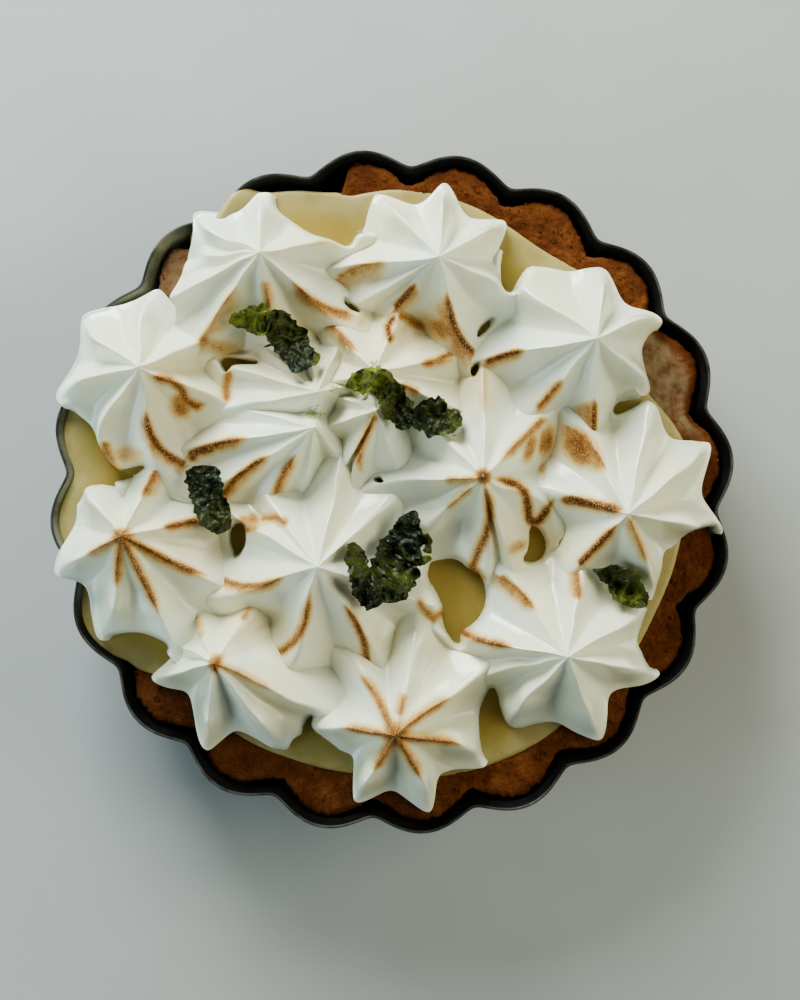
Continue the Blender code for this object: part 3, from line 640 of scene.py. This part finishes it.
def make_tin(finish):
    """The fluted tin: foot, wall, rolled rim and the inside of the wall and floor."""
    bead = 0.28 * MM
    roll = []
    for step in range(9):
        turn = math.radians(-80 + 32 * step)
        roll.append((RIM_HEIGHT - bead + bead * math.sin(turn), bead - ROLL - bead * math.cos(turn)))
    profile = [(0.0, 3 * FOOT_INSET), (0.0, FOOT_INSET), (0.12 * MM, 0.7 * MM), (0.5 * MM, 0.25 * MM),
               (FOOT_INSET, 0.0), (5 * MM, 0.0), (10 * MM, 0.0), (15 * MM, 0.0), (RIM_HEIGHT - 1.4 * MM, 0.0)]
    profile += roll
    profile += [(RIM_HEIGHT - 1.7 * MM, SHEET), (12 * MM, SHEET), (6 * MM, SHEET), (SHEET + FOOT_INSET, SHEET),
                (SHEET + 0.3 * MM, SHEET + 0.5 * MM), (SHEET, SHEET + FOOT_INSET), (SHEET, 4 * FOOT_INSET)]
    bm = blank(FLUTES * 30, len(profile))
    turn, level, on_axis = read_blank(bm)
    height, inset = along_profile(level, profile)
    radius = np.where(on_axis, 0.0, wall_radius(turn, height) - inset)
    write_points(bm, rings_to_points(radius, turn, height))
    piece = piece_from(bm, "fluted_tin", finish, ("tin",))
    degrees = np.degrees(turn)
    inside = smooth_step((degrees - 127) / 4) * smooth_step((204 - degrees) / 8) * (level > len(roll) + 7)
    spilt = smooth_step((degrees - 127) / 3) * smooth_step((136 - degrees) / 3) * (level > 8)
    put(piece.data, "film", np.maximum(0.8 * inside, spilt))
    return piece


def curd_overrun(turn):
    """The two stretches where the curd covers the pastry: first short of the tin, then up to it."""
    degrees = np.degrees(turn)
    first = smooth_step((degrees - 97) / 4) * smooth_step((132 - degrees) / 5)
    second = smooth_step((degrees - 141) / 9) * smooth_step((221 - degrees) / 11)
    return first, second


def curd_spill(turn):
    """1 where the curd has run up over the tin's rim."""
    degrees = np.degrees(turn)
    return smooth_step((degrees - 113) / 6) * smooth_step((128 - degrees) / 4)


def curd_shore(turn):
    """Where the curd's edge lies, and how far it has run over the pastry."""
    inner = pastry_inner_radius(turn, CRUST_TOP)
    waves = np.sin(5 * turn + 1.0) * 0.35 + np.sin(9 * turn + 0.4) * 0.25 + np.sin(17 * turn) * 0.12
    first, second = curd_overrun(turn)
    waves -= 2.3 * np.exp(-((np.degrees(turn) - 58) / 15) ** 2) + 4.2 * np.exp(-((np.degrees(turn) - 24) / 10) ** 2)
    wall = wall_radius(turn, CURD_EDGE_LEVEL) - SHEET
    straight = np.minimum((52.7 + 0.15 * np.sin(31 * turn)) * MM / np.maximum(np.sin(turn), 0.5), wall)
    shore = mix(mix(inner + waves * MM, straight, first), wall, second)
    return mix(shore, wall_radius(turn, RIM_HEIGHT) + 0.5 * MM, curd_spill(turn)), second


def make_crust(finish):
    """The shortcrust shell, crumbly where it shows between the curd and the tin."""
    floor = SHEET + 0.35 * MM
    rows = 34                    # rings across the top that shows
    buried = 4                   # rings under it, down the tin's wall
    bm = blank(1080, buried + rows + 4)
    turn, level, on_axis = read_blank(bm)
    across = np.clip((level - buried) / (rows - 1), 0.0, 1.0)
    top = CRUST_TOP - FLOOD_DROP * flood(turn)
    ragged = lumps(np.stack([np.cos(turn), np.sin(turn), 0 * turn], axis=1) * RIM_RADIUS, 2.1 * MM, 4.0)
    ragged += 0.9 * lumps(np.stack([np.cos(turn), np.sin(turn), 0 * turn], axis=1) * RIM_RADIUS, 0.7 * MM, 9.0)
    outer = wall_radius(turn, top) - SHEET - 0.45 * MM - 1.1 * MM * (1 - flute(turn)) + 0.42 * MM * (ragged - 0.5)
    outer = mix(outer, curd_shore(turn)[0] - 1.5 * MM, curd_overrun(turn)[0])
    inner = np.minimum(pastry_inner_radius(turn, top), curd_shore(turn)[0]) - 1.2 * MM
    radius = mix(outer, inner, across)
    height = top + 0.25 * MM - 1.0 * MM * (1 - across) ** 16 - 0.5 * MM * across ** 3
    low = level < buried
    share = level / buried
    base_height = mix(floor, top - 1.6 * MM, share)
    radius = np.where(low, wall_radius(turn, base_height) - SHEET - 0.5 * MM - FOOT_INSET * (level == 0), radius)
    height = np.where(low, base_height, height)
    sunk = np.clip(level - (buried + rows - 1), 0, 4)
    radius -= sunk * 0.5 * MM
    height = np.where(sunk > 0, mix(top - 0.25 * MM, 12 * MM, sunk / 4), height)
    height = np.where(on_axis & (level > 1), 12 * MM, height)
    radius = np.where(on_axis, 0.0, radius)
    spots = rings_to_points(radius, turn, height)
    shown = ~low & (sunk == 0)
    bumps = 0.26 * lumps(spots, 3.6 * MM, 1.0) + 0.19 * grit(spots, 0.9 * MM, 3, 2.0)
    cracks = np.clip(0.05 - np.abs(lumps(spots, 5.4 * MM, 6.0)), 0, 1) / 0.05
    covered = smooth_step((curd_shore(turn)[0] - 1.2 * MM - radius) / (1.2 * MM))
    spots[:, 2] -= np.where(shown, 0.9 * MM * covered, 0)
    spots[:, 2] += np.where(shown, (bumps - 0.12 * cracks) * MM * np.clip(6 * across, 0.2, 1), 0)
    write_points(bm, spots)
    piece = piece_from(bm, "pastry_crust", finish, ("crust",))
    # Painted shade: darker in the cracks and in the low parts of the bumps.
    put(piece.data, "hollow", np.clip(0.3 * cracks - 0.9 * bumps - 0.05, 0, 0.85))
    degrees = np.degrees(turn)
    smear = 0.62 * smooth_step((degrees - 8) / 8) * smooth_step((36 - degrees) / 6) * smooth_step((across - 0.12) * 5)
    smear += 0.8 * smooth_step((degrees - 126) / 6) * smooth_step((146 - degrees) / 6) * 0.5
    put(piece.data, "film", smear)
    return piece


def make_curd(finish):
    """The curd: a soft rounded edge over the pastry's inner edge, and a nearly level top."""
    edge_rings = [(-1.2, 0.0), (-0.5, 0.05), (-0.1, 0.0), (0.12, 0.15), (0.3, 0.45), (0.42, 0.9), (0.5, 1.6)]
    rows = 34
    bm = blank(720, len(edge_rings) + rows + 1)
    turn, level, on_axis = read_blank(bm)
    shore, over = curd_shore(turn)
    rise, back = along_profile(np.clip(level - 1, 0, len(edge_rings) - 1), edge_rings)
    top = CRUST_TOP - FLOOD_DROP * flood(turn)
    inward = np.clip((level - len(edge_rings)) / rows, 0, 1)
    radius = (shore - back * MM) * (1 - inward) ** 0.92
    level_height = mix(CURD_EDGE_LEVEL - 0.05 * MM, CURD_LEVEL - 0.05 * MM, 1 - (radius / RIM_RADIUS) ** 2)
    edge_height = mix(top + rise * MM, level_height, np.clip(back / 1.6, 0, 1) ** 0.6)
    creep = over * np.clip(1 - back / 1.2, 0, 1) ** 2 * 0.85 * MM * (rise > -0.2)
    height = np.where(inward > 0, level_height, edge_height) + creep
    height = np.where(level == 0, 12 * MM, height)
    radius = np.where(level == 0, pastry_inner_radius(turn, 12 * MM) - 1 * MM, radius)
    radius = np.where(on_axis, 0.0, radius)
    near = smooth_step((radius - shore + 5 * MM) / (4.4 * MM)) * (level > 0)
    height = height + curd_spill(turn) * near * (RIM_HEIGHT + 0.3 * MM - top)
    spots = rings_to_points(radius, turn, height)
    spots[:, 2] += np.where(level > 3, 0.10 * lumps(spots, 7 * MM, 3.0) + 0.04 * lumps(spots, 2.2 * MM, 5.0), 0) * MM
    write_points(bm, spots)
    piece = piece_from(bm, "lemon_curd", finish, ("curd",))
    # Paler band near the shore: partly thin curd, partly painted shade where the stars shade the curd.
    put(piece.data, "thin", 0.62 * smooth_step(1.25 - (shore - radius) / (5 * MM)))
    return piece


# ---- meringue ----

def support(x, y):
    """Height of what a star stands on: curd, pastry or the tin's rim."""
    radius, turn = np.hypot(x, y), np.arctan2(y, x) % TAU
    edge = pastry_inner_radius(turn, CRUST_TOP)
    wall = wall_radius(turn, RIM_HEIGHT) - SHEET
    curd = mix(CURD_LEVEL, CURD_EDGE_LEVEL, np.clip(radius / edge, 0, 1) ** 2)
    band = np.clip((radius - edge) / np.maximum(wall - edge, MM), 0, 1)
    pastry = mix(CRUST_TOP, CRUST_TOP - CRUST_EDGE_DROP, band)
    over_rim = smooth_step((radius - wall + 0.8 * MM) / MM)
    return mix(np.where(radius < edge, curd, pastry), RIM_HEIGHT + 0.1 * MM, over_rim)


def ridge_turn(item, reach):
    """Direction of an arm's ridge at a share of its reach."""
    return item["turn"] + item["bow"] * 4 * reach * (1 - reach)


def ridge_line(reach):
    """Height along a ridge, from 1 at the tip."""
    return 1 - 0.60 * reach ** 0.88 - 0.04 * smooth_step(reach / 0.12)


def star_profile():
    """Reach and rise of each ring of a star: 0 to 1 under its rounded foot, 1 to 2 up to the tip."""
    rows = []
    for step in range(FOOT_RINGS):
        turn = math.radians(-90 + 90 * step / FOOT_RINGS)
        rows.append((0.86 + 0.14 * math.cos(turn) if step else 0.3, 1 + math.sin(turn)))
    top_rings = STAR_RINGS - FOOT_RINGS
    for step in range(top_rings):
        share = (step / top_rings) ** 1.15
        rows.append((1 - share, 1 + share))
    return rows


def among_stars(tip, x, y):
    """1 where a place lies between this star and others, 0 where it is out at the pie's edge."""
    others = [np.hypot(x - other[0] * MM, y - other[1] * MM) for other, arms in STARS
              if math.dist(other, (tip[0] / MM, tip[1] / MM)) > 0.1]
    inner = smooth_step((FREE_ARMS[1] - np.hypot(x, y)) / (FREE_ARMS[1] - FREE_ARMS[0]))
    close = smooth_step((NEAR_STARS[1] - np.min(others, axis=0)) / (NEAR_STARS[1] - NEAR_STARS[0]))
    return np.maximum(inner, close)


def star_points(tip, arms, peak, seed):
    """Every point of one star, on its blank."""
    count = len(arms)
    segments = count * STAR_STEPS
    rows = star_profile()
    bm = blank(segments, len(rows))
    turn, level, on_axis = read_blank(bm)
    reach, rise = along_profile(level, rows)
    index = np.round(turn / TAU * segments).astype(int) % segments
    number, share = index // STAR_STEPS, (index % STAR_STEPS) / STAR_STEPS
    share = share - 0.55 * np.sin(TAU * share) / TAU
    after = (number + 1) % count
    start, bow, length, web = [np.array([item[key] for item in arms]) for key in ("turn", "bow", "reach", "web")]
    gap = (start[after] - start[number]) % TAU
    bend = mix(bow[number], bow[after], share) * 4 * reach * (1 - reach)
    direction = start[number] + gap * share + bend
    full = mix(length[number], length[after], share)

    middle = start[number] + gap / 2
    halfway = 0.85 * (length[number] + length[after]) / 2
    shared_arm = among_stars(tip, tip[0] + length * np.cos(start), tip[1] + length * np.sin(start))
    shared_arm = mix(shared_arm[number], shared_arm[after], share)
    shared = among_stars(tip, tip[0] + halfway * np.cos(middle), tip[1] + halfway * np.sin(middle))

    side = np.abs(2 * share - 1)
    softness = mix(0.05, 0.17, reach ** 2)
    crown = np.hypot(1, softness) - softness
    between = (np.hypot(1 - side, softness) - softness) / crown
    dip = 1 - (1 - between) ** 1.9
    width = np.clip(gap / math.radians(48), 0.55, 1.35)
    depth = mix(FREE_NOTCH * web[number], SHARED_NOTCH, shared) * width * (1 + 0.3 * np.sin(math.pi * reach))
    meets = mix(shared_arm, shared, np.sin(math.pi * share))
    run_on = full * (1 + RUN_ON)
    end = np.hypot(tip[0] + run_on * np.cos(direction), tip[1] + run_on * np.sin(direction))
    stretch = 1 + RUN_ON * meets * smooth_step((53 * MM - end) / (9 * MM))
    radius = full * (1 - depth * dip) * stretch * reach
    reach = reach * stretch
    x = np.where(on_axis & (level > 1), tip[0], tip[0] + radius * np.cos(direction))
    y = np.where(on_axis & (level > 1), tip[1], tip[1] + radius * np.sin(direction))

    ridge = ridge_line(reach)
    ridge *= 1 - (1 - ARM_END / SHARED_END) * smooth_step((reach - 0.66) / 0.34) * (1 - shared_arm)
    sunk = np.minimum(reach, 0.85)
    hollow = ridge_line(reach) - VALLEY * sunk ** 1.25 * (1 - 0.5 * sunk) * width
    crisp = 1 - (1 - between) ** 1.5
    climb = np.maximum(mix(ridge, hollow, crisp), 0.03)
    ground = support(x, y)
    x, y = x.copy(), y.copy()
    body = STAR_BASE + (peak - STAR_BASE) * climb
    for dent_x, dent_y, wide, deep in DENTS:
        body -= deep * MM * np.exp(-((x - dent_x * MM) ** 2 + (y - dent_y * MM) ** 2) / (wide * MM) ** 2)
    body = np.maximum(body, ground + 0.45 * MM)
    lip = np.ones(x.shape)
    for outline in OPENINGS:
        corners = rounded(outline)
        width = min(LIP, 0.26 * np.ptp(corners, axis=0).min())
        away = away_from(x, y, corners)
        edge = (-0.7 * MM < away) & (away < 0.1 * MM)
        if edge.any():
            near_x, near_y, step = x[edge], y[edge], 0.02 * MM
            slope_x = (away_from(near_x + step, near_y, corners) - away[edge]) / step
            slope_y = (away_from(near_x, near_y + step, corners) - away[edge]) / step
            x[edge] -= away[edge] * slope_x
            y[edge] -= away[edge] * slope_y
            away[edge] = 0
        lip = np.minimum(lip, np.clip(away / width, 0, 1))
    lip = np.sqrt(1 - (1 - lip) ** 2)
    body = mix(ground - 1.3 * MM, body, lip)
    wall = wall_radius(np.arctan2(y, x), CRUST_TOP) - SHEET - 0.5 * MM
    out = np.hypot(x, y)
    cut = (out > wall) & (lip < 0.5)
    over_rim = (out > wall) & ~cut
    body = np.where(over_rim, np.maximum(body, ground + 0.1 * MM), np.where(cut, CRUST_TOP - 1.6 * MM, body))
    pull = np.where(cut, wall / np.maximum(out, MM), 1)
    x, y = x * pull, y * pull
    under = np.where((lip < 1) & ~over_rim, ground - 1.3 * MM, mix(ground - 0.25 * MM, body, rise))
    height = np.where(rise < 1, np.minimum(under, body), body)
    height = np.where(on_axis & (level > 1), peak, height)
    spots = np.stack([x, y, height], axis=1)
    sag = np.stack([lumps(spots, 5.5 * MM, seed + axis) for axis in (0.0, 11.0, 23.0)], axis=1)
    quiet = np.clip((2 - rise) * 5, 0, 1) * np.clip(rise * 2, 0, 1)
    spots += sag * quiet[:, None] * 0.36 * MM
    drawn = np.stack([9 * np.cos(direction), 9 * np.sin(direction), 1.6 * reach], axis=1)
    spots[:, 2] += lumps(drawn, 1.0, seed + 31) * quiet * np.minimum(reach, 1) * 0.16 * MM
    return bm, spots


def near_line(spots, line):
    """Distance in plan to a line of points, its side (1 left, -1 right), and how far along, 0 to 1."""
    line = np.array(line)
    steps = np.hypot(*(line[1:] - line[:-1]).T)
    best = np.full(len(spots), 1.0)
    side, along = np.zeros(len(spots)), np.zeros(len(spots))
    passed = 0.0
    for start, end, step in zip(line[:-1], line[1:], steps):
        ahead = (end - start) / step
        away = spots[:, :2] - start
        share = np.clip(away @ ahead / step, 0, 1)
        distance = np.hypot(*(away - share[:, None] * (end - start)).T)
        closer = distance < best
        best = np.where(closer, distance, best)
        side = np.where(closer, np.sign(ahead[0] * away[:, 1] - ahead[1] * away[:, 0]), side)
        along = np.where(closer, (passed + share * step) / steps.sum(), along)
        passed += step
    return best, side, along


def stroke(spots, line, core, strength, spread=(0.5, 0.5), burnt_end=True):
    """Browning along a line: a dark core, and tan that spreads by its own width to each side."""
    distance, side, along = near_line(spots, line)
    fade = smooth_step(along * 3.0) if burnt_end else smooth_step(along * 5) * smooth_step((1 - along) * 5)
    wide = (0.25 * MM + np.where(side > 0, spread[0], spread[1]) * MM) * (0.5 + 0.5 * fade)
    dark = np.exp(-(distance / (core * (0.45 + 0.55 * fade))) ** 2.6)
    tan = np.exp(-(distance / (wide + 0.35 * core)) ** 2)
    return fade * np.maximum(strength * dark, min(strength, 0.55) * 0.8 * tan)


def star_toast(spots, tip, arms):
    """How browned each point of a star is, with the wide faint blots adding a cream tint that is partly painted shade.
    """
    toast = np.zeros(len(spots))
    for item in arms:
        if item["toast"] is None:
            continue
        first, last, strength, after, before = item["toast"]
        line = []
        for share in np.linspace(first, last, 9):
            turn = ridge_turn(item, share)
            line.append((tip[0] + item["reach"] * share * math.cos(turn),
                         tip[1] + item["reach"] * share * math.sin(turn)))
        core = (0.22 + 0.42 * strength) * MM
        if first < 0.13:
            line, after, before = line[::-1], before, after
        toast = np.maximum(toast, stroke(spots, line, core, strength, (after, before), first < 0.13 or last > 0.89))
    for core, strength, line in EDGES:
        line = [(x * MM, y * MM) for x, y in line]
        toast = np.maximum(toast, stroke(spots, line, core * MM, strength, burnt_end=False))
    for x, y, long, short, turn, strength in BLOTS:
        away = spots[:, :2] - np.array((x, y)) * MM
        turn = math.radians(turn)
        forward = (away[:, 0] * math.cos(turn) + away[:, 1] * math.sin(turn)) / (long * MM)
        sideways = (away[:, 1] * math.cos(turn) - away[:, 0] * math.sin(turn)) / (short * MM)
        toast = np.maximum(toast, strength * np.exp(-(forward ** 2 + sideways ** 2) ** 1.3))
    return np.clip(toast * (1 + 0.35 * lumps(spots, 1.3 * MM, 5.0)), 0, 1)


def make_stars(finish):
    """All the stars, each in its node's place."""
    pieces = []
    for number, (tip, arms) in enumerate(STARS, 1):
        node = f"meringue_star_{number:02d}"
        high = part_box(node)[1]
        tip = (tip[0] * MM, tip[1] * MM)
        bm, spots = star_points(tip, arms, high[2], 1.7 * number)
        write_points(bm, spots)
        piece = piece_from(bm, f"piped_star_{number:02d}", finish, (node,))
        put(piece.data, "toast", star_toast(spots, tip, arms))
        pieces.append(piece)
    return pieces


# ---- what lies on the meringue ----

class Relief:
    """Height of the meringue on a fine square grid, with its sharp ridges softened."""

    STEP = 0.5 * MM

    def __init__(self, pieces):
        points, faces = [], []
        for piece in pieces:
            start = len(points)
            points += [vert.co.copy() for vert in piece.data.vertices]
            faces += [[start + corner for corner in face.vertices] for face in piece.data.polygons]
        self.tree = BVHTree.FromPolygons(points, faces)
        self.count = int(2 * RIM_RADIUS / self.STEP) + 1
        down = Vector((0, 0, -1))
        self.sharp = np.full((self.count, self.count), CURD_LEVEL)
        for row in range(self.count):
            for column in range(self.count):
                spot = Vector((row * self.STEP - RIM_RADIUS, column * self.STEP - RIM_RADIUS, 3 * RIM_HEIGHT))
                hit = self.tree.ray_cast(spot, down)[0]
                if hit is not None:
                    self.sharp[row, column] = hit.z
        self.soft = self.sharp.copy()
        for around in range(2):
            self.soft = np.maximum.reduce([np.roll(self.soft, shift, axis) for shift in (-1, 0, 1) for axis in (0, 1)])
        for around in range(8):
            self.soft = sum(np.roll(self.soft, shift, axis) for shift in (-1, 1) for axis in (0, 1)) / 4

    def read(self, field, x, y):
        row, column = (np.asarray(x) + RIM_RADIUS) / self.STEP, (np.asarray(y) + RIM_RADIUS) / self.STEP
        first, second = np.floor(row).astype(int), np.floor(column).astype(int)
        row, column = row - first, column - second
        near = mix(field[first, second], field[first + 1, second], row)
        far = mix(field[first, second + 1], field[first + 1, second + 1], row)
        return mix(near, far, column)


def read_line(place, values):
    """Read a row of values at fractional places along it, rounded at its corners."""
    wide = [np.interp(place + step, np.arange(len(values)), values) for step in (-0.3, -0.1, 0.1, 0.3)]
    return sum(wide) / 4


def leaf_strip(line, rings, sides, relief, lowest, seed):
    """One crumpled, ragged strip of leaf on its blank, with how far along it each point is."""
    bm = blank(sides, rings)
    turn, level, on_axis = read_blank(bm)
    along = level / (rings - 1)
    place = along * (len(line) - 1)
    middle_x, middle_y, width = [read_line(place, line[:, column]) for column in range(3)]
    forward_x = read_line(place + 0.2, line[:, 0]) - read_line(place - 0.2, line[:, 0])
    forward_y = read_line(place + 0.2, line[:, 1]) - read_line(place - 0.2, line[:, 1])
    size = np.maximum(np.hypot(forward_x, forward_y), 1e-6)
    side_x, side_y = -forward_y / size, forward_x / size
    round_ends = np.clip(np.minimum(along, 1 - along) * 10, 0, 1) ** 0.5
    across = np.where(on_axis, 0.0, np.cos(turn))
    offset = across * width / 2 * round_ends
    lens = np.where(on_axis, 0.0, np.sin(turn)) * 0.35 * MM * round_ends
    x, y = middle_x + side_x * offset, middle_y + side_y * offset
    flat = np.stack([x, y, 0.3 * lens], axis=1)
    notches = 0.9 * lumps(flat, 1.7 * MM, seed) + 0.7 * lumps(flat, 0.7 * MM, seed + 2)
    reach = np.sign(across) * np.abs(across) ** 4 * notches * np.minimum(0.16 * width + 0.12 * MM, 0.85 * MM)
    x, y = x + side_x * reach, y + side_y * reach
    flat = np.stack([x, y, 0 * x], axis=1)
    rest = np.maximum(relief.read(relief.soft, x, y), lowest) + 0.3 * MM
    creases = 1 - 2.2 * np.abs(lumps(flat, 2.1 * MM, seed + 4))
    fine = 1 - 2.2 * np.abs(lumps(flat, 0.8 * MM, seed + 6))
    crumple = 0.90 * creases + 0.30 * fine + 0.10 * grit(flat, 0.35 * MM, 2, seed)
    curl = np.abs(across) ** 3 * (0.5 + lumps(flat, 3.0 * MM, seed + 9))
    strong = np.clip(width / (4 * MM), 0.3, 1)
    height = rest + (0.9 + crumple * strong + 0.9 * curl * strong) * MM + lens
    write_points(bm, np.stack([x, y, height], axis=1))
    return bm, along, flat


def make_leaf(number, relief, finish):
    """One candied leaf: crumpled strips laid on the meringue, some of them overlapping."""
    strips = LEAVES[number - 1]
    spine = np.concatenate([np.array(line)[:, :2] for fresh_and_lit, line in strips[:1]]) * MM
    lowest = relief.read(relief.soft, spine[:, 0], spine[:, 1]).max() - 3.5 * MM
    whole = bmesh.new()
    fresh_and_lit_all = []
    for count, ((first, last), line) in enumerate(strips):
        line = np.array(line) * MM
        length = np.hypot(*np.diff(line[:, :2], axis=0).T).sum()
        rings, sides = int(12 + length / (0.15 * MM)), (64 if line[:, 2].max() > 3 * MM else 32)
        seed = 5.3 * number + 1.9 * count
        bm, along, flat = leaf_strip(line, rings, sides, relief, lowest, seed)
        part = bpy.data.meshes.new("strip")
        bm.to_mesh(part)
        bm.free()
        whole.from_mesh(part)
        bpy.data.meshes.remove(part)
        # Brighter green at the strips' ends and in patches: partly fresher leaf, partly painted light.
        fresh_and_lit = first * smooth_step(1.4 - along * 1.7) + last * smooth_step(1.3 - (1 - along) * 1.9)
        fresh_and_lit += 0.14 * smooth_step(lumps(flat, 2.6 * MM, seed + 8) * 3 - 0.9)
        fresh_and_lit_all.append(fresh_and_lit * (0.85 + 0.6 * lumps(flat, 1.3 * MM, seed + 9)))
    piece = piece_from(whole, f"candied_leaf_{number}", finish, (f"mint_leaf_{number}",))
    put(piece.data, "fresh_and_lit", np.clip(np.concatenate(fresh_and_lit_all), 0, 1))
    return piece


def add_bit(bm, shape, spot, size, draw):
    """Add one small bit to a joined mesh, turned and squashed at random."""
    before = len(bm.verts)
    if shape == "grain":
        bmesh.ops.create_cube(bm, size=1.0)
    else:
        bmesh.ops.create_icosphere(bm, subdivisions=1 if size < 0.5 * MM else 2, radius=0.5)
    bm.verts.ensure_lookup_table()
    verts = bm.verts[before:]
    squash = Matrix.Diagonal((draw.uniform(0.7, 1.3), draw.uniform(0.6, 1.2), draw.uniform(0.5, 1.0)))
    turn = Matrix.Rotation(draw.uniform(0, TAU), 3, (draw.uniform(-1, 1), draw.uniform(-1, 1), draw.uniform(0.1, 1)))
    for vert in verts:
        local = squash @ vert.co
        if shape != "grain":
            local *= 1 + 0.35 * noise.noise(local * 2.3 + Vector(spot) * 900)
        vert.co = Vector(spot) + (turn @ local) * size


def make_sugar(leaves, finish):
    """Fine sugar grains stuck to the leaves."""
    draw = random.Random(4)
    bm = bmesh.new()
    for leaf in leaves:
        faces = [face for face in leaf.data.polygons if face.normal.z > 0.25]
        for face in draw.sample(faces, min(len(faces), 170)):
            add_bit(bm, "grain", face.center, draw.choice((0.08, 0.10, 0.12, 0.17)) * MM, draw)
    return piece_from(bm, "leaf_sugar", finish)


def make_mint_crumbs(relief, finish):
    """Little heaps of green sugar that fell beside the leaves."""
    draw = random.Random(9)
    bm = bmesh.new()
    for x, y, spread, count in ((-13.5, 13.4, 1.5, 60), (-2.9, 21.6, 1.1, 40), (-9.9, 17.9, 0.7, 16),
                                (9.8, 9.4, 1.2, 22), (-7.0, 24.0, 1.6, 14)):
        for step in range(count):
            spot_x, spot_y = (x + draw.gauss(0, spread * 0.5)) * MM, (y + draw.gauss(0, spread * 0.4)) * MM
            size = draw.uniform(0.18, 0.55) * MM
            height = float(relief.read(relief.sharp, spot_x, spot_y)) + 0.2 * size
            add_bit(bm, "crumb", (spot_x, spot_y, height), size, draw)
    return piece_from(bm, "mint_crumbs", finish)


def make_pastry_crumbs(crust, finish):
    """Loose crumbs on the pastry, most of them along its edges."""
    draw = random.Random(21)
    bm = bmesh.new()
    faces = [face for face in crust.data.polygons
             if face.normal.z > 0.2 and 51.5 * MM < face.center.xy.length and face.center.z > 15 * MM
             and not (face.center.x > 42 * MM and 6 * MM < face.center.y < 34 * MM)]
    for face in draw.sample(faces, 700):
        size = draw.choice((0.2, 0.25, 0.3, 0.35, 0.45, 0.6)) * MM
        add_bit(bm, "crumb", face.center + Vector((0, 0, 0.15 * size)), size, draw)
    crumbs = piece_from(bm, "pastry_crumbs", finish)
    # No painted shade on the crumbs.
    put(crumbs.data, "hollow", np.zeros(len(crumbs.data.vertices)))
    put(crumbs.data, "film", np.zeros(len(crumbs.data.vertices)))
    return crumbs


# ---- floor, light and camera ----

def make_floor():
    bm = bmesh.new()
    bmesh.ops.create_grid(bm, x_segments=4, y_segments=4, size=3.0)
    mesh = bpy.data.meshes.new("floor")
    bm.to_mesh(mesh)
    bm.free()
    mesh.materials.append(floor_finish())
    floor = bpy.data.objects.new("floor", mesh)
    bpy.context.scene.collection.objects.link(floor)


def make_lamp(name, spot, size, power, colour):
    """A soft square lamp that faces the pie."""
    light = bpy.data.lights.new(name, "AREA")
    light.size = size
    light.energy = power
    light.color = colour
    lamp = bpy.data.objects.new(name, light)
    lamp.location = spot
    lamp.rotation_euler = (-Vector(spot)).to_track_quat("-Z", "Y").to_euler()
    bpy.context.scene.collection.objects.link(lamp)


def make_light():
    make_lamp("window", (-0.17, 0.43, 0.20), 0.26, 7.9, (0.91, 1.0, 0.94))
    make_lamp("room", (0.42, 0.04, 0.24), 0.34, 2.4, (0.96, 0.96, 0.70))
    make_lamp("sky", (-0.40, -0.16, 0.15), 0.30, 1.4, (0.70, 0.95, 1.0))
    world = bpy.data.worlds.new("room_light")
    world.use_nodes = True
    world.node_tree.nodes["Background"].inputs["Color"].default_value = (0.82, 0.88, 0.84, 1)
    world.node_tree.nodes["Background"].inputs["Strength"].default_value = 0.075
    bpy.context.scene.world = world


def make_camera():
    """Straight above the pie, a little off its middle."""
    distance = 330 * MM          # above the rim
    frame_width = 139.66 * MM    # seen across at the rim
    camera = bpy.data.cameras.new("camera")
    camera.sensor_fit = "HORIZONTAL"
    camera.sensor_width = 36.0
    camera.lens = 36.0 * distance / frame_width
    camera.clip_start = 0.01
    holder = bpy.data.objects.new("camera", camera)
    holder.location = (1.4 * MM, -1.4 * MM, RIM_HEIGHT + distance)
    bpy.context.scene.collection.objects.link(holder)
    bpy.context.scene.camera = holder


def main():
    make_tin(tin_finish())
    pastry = crust_finish()
    crust = make_crust(pastry)
    make_curd(curd_finish())
    stars = make_stars(meringue_finish())
    relief = Relief(stars)
    mint = mint_finish()
    leaves = [make_leaf(number, relief, mint) for number in range(1, len(LEAVES) + 1)]
    make_sugar(leaves, sugar_finish())
    make_mint_crumbs(relief, crumb_finish())
    make_pastry_crumbs(crust, pastry)
    make_floor()
    make_light()
    make_camera()


main()
